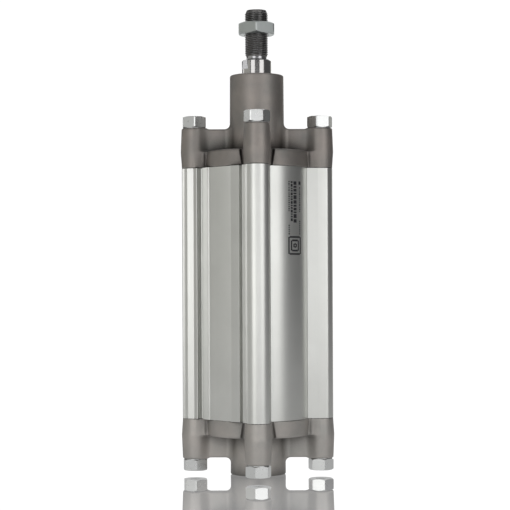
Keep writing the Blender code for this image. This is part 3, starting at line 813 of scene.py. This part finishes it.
def make_materials():
    finishes = {}
    # One cast aluminium in two copies: the front cap's is darker, painted shade, and the rear cap's lighter,
    # painted light.
    finishes["front_cast"] = surface(
        "front_cast_aluminium", (0.28, 0.27, 0.255), (0.385, 0.345, 0.318), (0.46, 0.55), metallic=0.9,
        patch=45.0, grain=1400.0, bump=0.08, wear=(0.42, 0.4, 0.38), painted_shade=0.9,
    )
    finishes["rear_cast"] = surface(
        "rear_cast_aluminium", (0.42, 0.41, 0.39), (0.53, 0.497, 0.466), (0.46, 0.55), metallic=0.9,
        patch=45.0, grain=1400.0, bump=0.08, wear=(0.54, 0.525, 0.5), painted_shade=0.6,
    )
    finishes["tube"] = surface(
        "anodised_extrusion", (0.67, 0.675, 0.65), (0.72, 0.725, 0.70), (0.33, 0.38),
        grain=500.0, stretch=(4, 4, 0.02), bump=0.002,
    )
    finishes["zinc"] = surface(
        "bright_zinc", (0.8, 0.81, 0.805), (0.84, 0.85, 0.845), (0.27, 0.29),
        patch=60.0, grain=300.0, bump=0.0005, wear=(0.8, 0.81, 0.8),
    )
    finishes["blue_zinc"] = surface(
        "blue_zinc", (0.25, 0.28, 0.27), (0.3, 0.33, 0.32), (0.3, 0.36),
        patch=60.0, grain=300.0, bump=0.004, wear=(0.62, 0.65, 0.64),
    )
    finishes["chrome"] = surface(
        "hard_chrome", (0.54, 0.53, 0.52), (0.58, 0.57, 0.56), (0.12, 0.16),
        patch=15.0, grain=600.0, stretch=(0.3, 0.3, 8), bump=0.0006,
    )
    finishes["thread"] = surface(
        "oiled_thread", (0.13, 0.125, 0.12), (0.22, 0.215, 0.21), (0.28, 0.38),
        patch=80.0, grain=900.0, bump=0.004, wear=(0.6, 0.6, 0.62),
    )
    finishes["machined"] = surface(
        "machined_steel", (0.42, 0.42, 0.43), (0.52, 0.52, 0.53), (0.16, 0.24),
        patch=60.0, grain=500.0, stretch=(1, 1, 12), bump=0.002,
    )
    finishes["turned"] = surface(
        "turned_aluminium", (0.66, 0.66, 0.68), (0.74, 0.74, 0.76), (0.2, 0.34),
        grain=500.0, stretch=(0.5, 0.5, 10), bump=0.02,
    )
    finishes["bronze"] = surface(
        "sintered_bronze", (0.4, 0.27, 0.13), (0.5, 0.35, 0.18), (0.35, 0.5), bump=0.05,
    )
    finishes["rubber"] = surface(
        "nitrile_rubber", (0.012, 0.012, 0.012), (0.03, 0.03, 0.03), (0.45, 0.65), metallic=0.0, bump=0.03,
    )
    finishes["polyurethane"] = surface(
        "polyurethane", (0.03, 0.035, 0.04), (0.06, 0.065, 0.07), (0.35, 0.5), metallic=0.0, bump=0.02,
    )
    finishes["guide"] = surface(
        "guide_plastic", (0.42, 0.4, 0.34), (0.5, 0.47, 0.41), (0.35, 0.5), metallic=0.0, bump=0.02,
    )
    finishes["magnet"] = surface(
        "bonded_magnet", (0.05, 0.05, 0.055), (0.09, 0.09, 0.095), (0.5, 0.7), metallic=0.1, bump=0.05,
    )
    finishes["print"] = surface(
        "dark_print", (0.012, 0.012, 0.014), (0.03, 0.03, 0.035), (0.4, 0.6), metallic=0.0,
        patch=900.0, bump=0.01,
    )
    return finishes


CAD_FINISHES = {
    "turned_aluminium": "turned",
    "zinc_steel": "zinc",
    "plain_steel": "machined",
    "bronze": "bronze",
    "black_rubber": "rubber",
    "polyurethane": "polyurethane",
    "guide_plastic": "guide",
    "bonded_magnet": "magnet",
}


def dress_cad_nodes(finishes):
    """The CAD nodes that stay get their finish by the record's material slot."""
    for entry in frame["record"]["subparts"]:
        finish = CAD_FINISHES.get(entry["material_slot"])
        if finish is None:
            continue
        for slot in frame["nodes"][entry["node"]].material_slots:
            slot.material = finishes[finish]


# ---------------------------------------------------------------- floor, light and camera


def make_floor():
    """A round glossy white table."""
    steps = 96
    below_origin = 0.0002
    seen_glow, cast_glow = 1.08, 0.5
    mesh = bpy.data.meshes.new("floor")
    mesh.from_pydata([Vector(p) * MM for p in circle(1600.0, 0.0, steps)], [], [tuple(range(steps))])
    made = bpy.data.objects.new("floor", mesh)
    bpy.context.collection.objects.link(made)
    made.location.z = -below_origin
    material = bpy.data.materials.new("white_gloss_floor")
    material.use_nodes = True
    tree = material.node_tree
    tree.nodes.clear()
    glow = node(tree, "ShaderNodeEmission")
    mirror = node(tree, "ShaderNodeBsdfGlossy")
    mirror.inputs["Roughness"].default_value = 0.02
    fresnel = node(tree, "ShaderNodeFresnel")
    fresnel.inputs["IOR"].default_value = 1.8
    share = node(tree, "ShaderNodeMath", operation="MULTIPLY", use_clamp=True)
    share.inputs[1].default_value = 1.6
    seen = node(tree, "ShaderNodeLightPath").outputs["Is Camera Ray"]
    only_seen = node(tree, "ShaderNodeMath", operation="MULTIPLY")
    tree.links.new(seen, only_seen.inputs[0])
    tree.links.new(share.outputs[0], only_seen.inputs[1])
    tree.links.new(spread(tree, seen, cast_glow, seen_glow, 0, 1), glow.inputs["Strength"])
    mix = node(tree, "ShaderNodeMixShader")
    output = node(tree, "ShaderNodeOutputMaterial")
    tree.links.new(fresnel.outputs[0], share.inputs[0])
    tree.links.new(only_seen.outputs[0], mix.inputs[0])
    tree.links.new(glow.outputs[0], mix.inputs[1])
    tree.links.new(mirror.outputs[0], mix.inputs[2])
    tree.links.new(mix.outputs[0], output.inputs["Surface"])
    mesh.materials.append(material)
    return made


def around(degrees_from_camera, distance, height):
    """A point this many degrees round the cylinder's axis from the camera, counterclockwise from above."""
    a = CAMERA_AZIMUTH + radians(degrees_from_camera)
    return Vector((distance * cos(a), distance * sin(a), height))


def area_light(name, place, target, width, height, radiance, colour=(1, 1, 1)):
    """A softbox of this size and brightness, which the camera itself doesn't see."""
    data = bpy.data.lights.new(name, "AREA")
    data.shape = "RECTANGLE"
    data.size, data.size_y = width, height
    data.energy = radiance * pi * width * height
    data.color = colour
    made = bpy.data.objects.new(name, data)
    bpy.context.collection.objects.link(made)
    made.visible_camera = False
    made.location = place
    made.rotation_euler = (Vector(target) - place).to_track_quat("-Z", "Y").to_euler()
    return made


def make_lights(floor, barrel):
    """Softboxes for the cylinder, one of them for its tube alone, and walls that only the table reflects."""
    foot, middle, nose = (0, 0, 0.03), (0, 0, 0.2), (0, 0, 0.345)
    warm = (1, 0.995, 0.92)
    studio = [
        area_light("strip_right", around(39.5, 1.1, 0.3), middle, 0.64, 1.4, 1.35),
        area_light("strip_left", around(-29, 1.1, 0.3), middle, 0.6, 1.4, 1.3),
        area_light("low_right", around(40, 1.05, 0.13), foot, 0.6, 0.26, 0.15, warm),
        area_light("low_left", around(-29, 1.05, 0.13), foot, 0.6, 0.26, 0.55, warm),
        area_light("front_fill", around(5, 1.1, 0.05), (0, 0, 0.05), 0.62, 0.77, 1.2),
        area_light("wide_left", around(-86, 1.2, 0.35), middle, 1.6, 1.3, 0.36, warm),
        area_light("wide_right", around(150, 1.4, 0.35), middle, 0.8, 1.3, 0.3, warm),
        area_light("high_left", around(-126, 1.2, 0.52), nose, 0.34, 0.16, 1.1),
        area_light("top", Vector((0, 0, 1.5)), middle, 1.2, 1.2, 0.8),
        area_light("backdrop", around(180, 1.7, 1.0), (0, 0, 1.0), 1.5, 2.2, 1.2),
    ]
    everything_but_floor = bpy.data.collections.new("lit_by_studio")
    everything_but_floor.objects.link(floor)
    everything_but_floor.collection_objects[0].light_linking.link_state = "EXCLUDE"
    for light in studio:
        light.light_linking.receiver_collection = everything_but_floor

    barrel_only = bpy.data.collections.new("lit_by_rail_light")
    barrel_only.objects.link(barrel)
    rail_light = area_light("rail_light", around(-122, 1.2, 0.3), middle, 0.6, 1.4, 1.25)
    rail_light.light_linking.receiver_collection = barrel_only

    floor_only = bpy.data.collections.new("lit_by_walls")
    floor_only.objects.link(floor)
    walls = 8
    for k in range(walls):
        wall = area_light(f"wall_{k}", around(360 / walls * k, 4.0, 2.0), (0, 0, 2.0), 3.4, 4.2, 1.25)
        wall.light_linking.receiver_collection = floor_only


def make_world():
    """White behind the object, and a grey studio round it."""
    world = bpy.data.worlds.new("studio")
    bpy.context.scene.world = world
    world.use_nodes = True
    tree = world.node_tree
    tree.nodes.clear()
    path = node(tree, "ShaderNodeLightPath")
    mix = node(tree, "ShaderNodeMixShader")
    output = node(tree, "ShaderNodeOutputWorld")
    tree.links.new(path.outputs["Is Camera Ray"], mix.inputs[0])
    grey, white = (0.5, 0.5, 0.51, 1), (1, 1, 1, 1)
    for socket, colour, strength in ((1, grey, 0.2), (2, white, 1.05)):
        background = node(tree, "ShaderNodeBackground")
        background.inputs["Color"].default_value = colour
        background.inputs["Strength"].default_value = strength
        tree.links.new(background.outputs[0], mix.inputs[socket])
    tree.links.new(mix.outputs[0], output.inputs[0])


def make_camera():
    """A long lens that looks level from below the cylinder's middle, with its picture shifted up."""
    distance, height, aside = 1.343, 0.1646, -0.0021
    roll = radians(0.24)
    data = bpy.data.cameras.new("camera")
    data.lens = 112.2
    data.sensor_width = 36.0
    data.shift_y = 0.0467
    data.clip_end = 50
    made = bpy.data.objects.new("camera", data)
    bpy.context.collection.objects.link(made)
    facing = CAMERA_AZIMUTH + pi / 2
    made.location = around(0, distance, height) + Vector((cos(facing), sin(facing), 0)) * aside
    level = Matrix.Rotation(facing, 3, "Z") @ Matrix.Rotation(pi / 2, 3, "X")
    made.rotation_euler = (level @ Matrix.Rotation(-roll, 3, "Z")).to_euler()
    bpy.context.scene.camera = made


def build():
    finishes = make_materials()
    dress_cad_nodes(finishes)
    rear_boss, nose = REAR_JOINT, NOSE_TOP - FRONT_JOINT
    make_cap("rear_cap", REAR_JOINT, -1, rear_boss_radius, rear_boss, rear_bores, finishes["rear_cast"])
    make_cap("front_cap", FRONT_JOINT, 1, nose_radius, nose, front_bores, finishes["front_cast"])
    barrel = make_barrel(finishes["tube"])
    for i in range(len(CORNERS)):
        make_tie_nut("front", i, FRONT_JOINT + CAP_HEIGHT, 1, TIE_ROD_HIGH, finishes["zinc"])
        make_tie_nut("rear", i, REAR_JOINT - CAP_HEIGHT, -1, TIE_ROD_LOW, finishes["zinc"])
    make_rod(finishes["chrome"], finishes["thread"], finishes["machined"])
    make_jam_nut(finishes["blue_zinc"])
    make_print(finishes["print"])
    make_lights(make_floor(), barrel)
    make_world()
    make_camera()
    bpy.context.scene.view_settings.view_transform = "Standard"


build()
